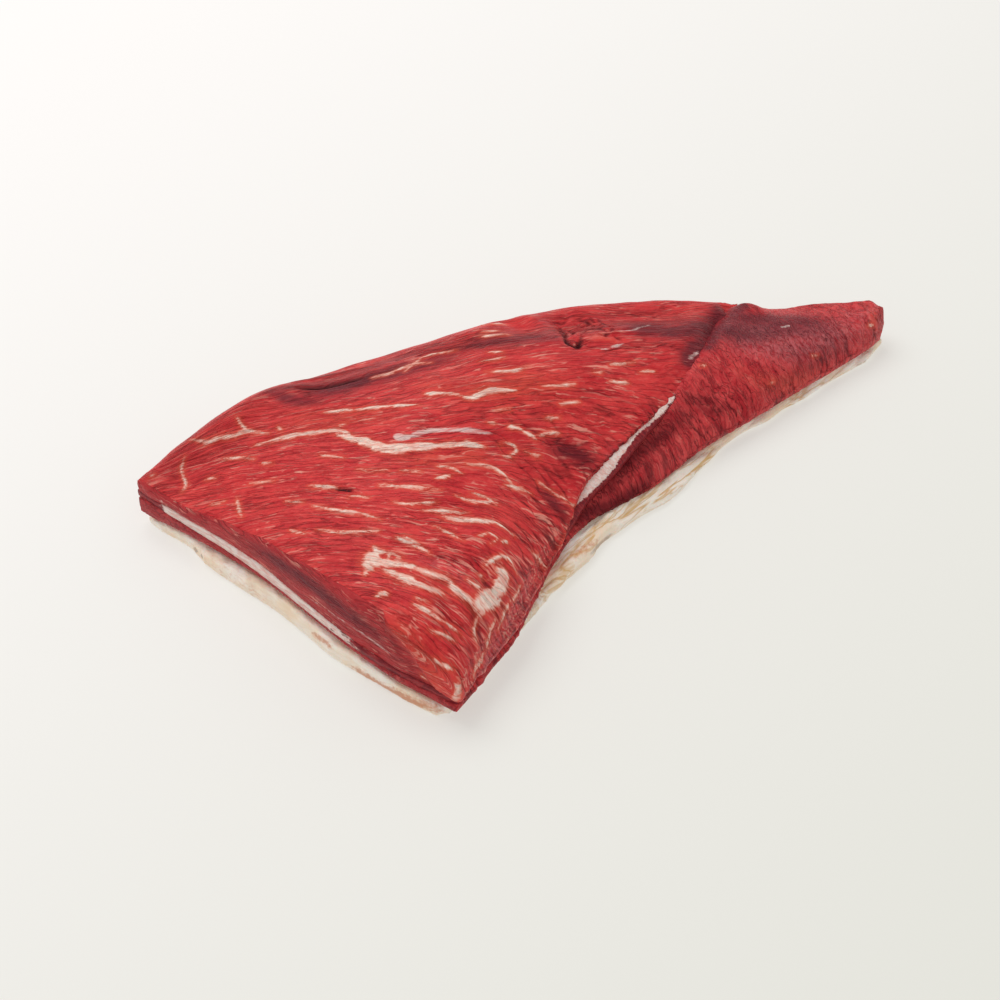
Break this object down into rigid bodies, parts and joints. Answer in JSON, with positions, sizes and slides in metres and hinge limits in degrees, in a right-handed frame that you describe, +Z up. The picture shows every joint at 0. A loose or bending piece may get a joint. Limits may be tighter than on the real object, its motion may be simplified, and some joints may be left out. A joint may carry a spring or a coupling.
{
  "type": "raw beef tri-tip",
  "caption": "Raw untrimmed beef tri-tip lying on its fat cap: a broad cut end, a long tapering tail, and a white seam between its muscles.",
  "frame": {"origin": "middle of the footprint, on the surface the cut lies on", "axes": "+X from the broad end towards the tip of the tail, +Z up out of the fat cap, -Y towards the near corner of the cut face"},
  "size_m": [0.323, 0.1802, 0.0502],
  "materials": {
    "fat_cap": "soft cream beef fat, slightly greasy, with yellow-tan creases and rosy patches",
    "lower_muscle": "moist dark red raw muscle with fine fibres, turning purple towards the tail",
    "seam_fat": "thin white connective fat with a frayed edge",
    "upper_muscle": "moist bright red raw muscle with coarse fibres and pale streaks of marbling"
  },
  "bodies": {
    "root": {"fat_cap": "fat_cap", "lower_muscle": "lower_muscle", "seam_fat": "seam_fat", "upper_muscle": "upper_muscle"}
  },
  "joints": []
}
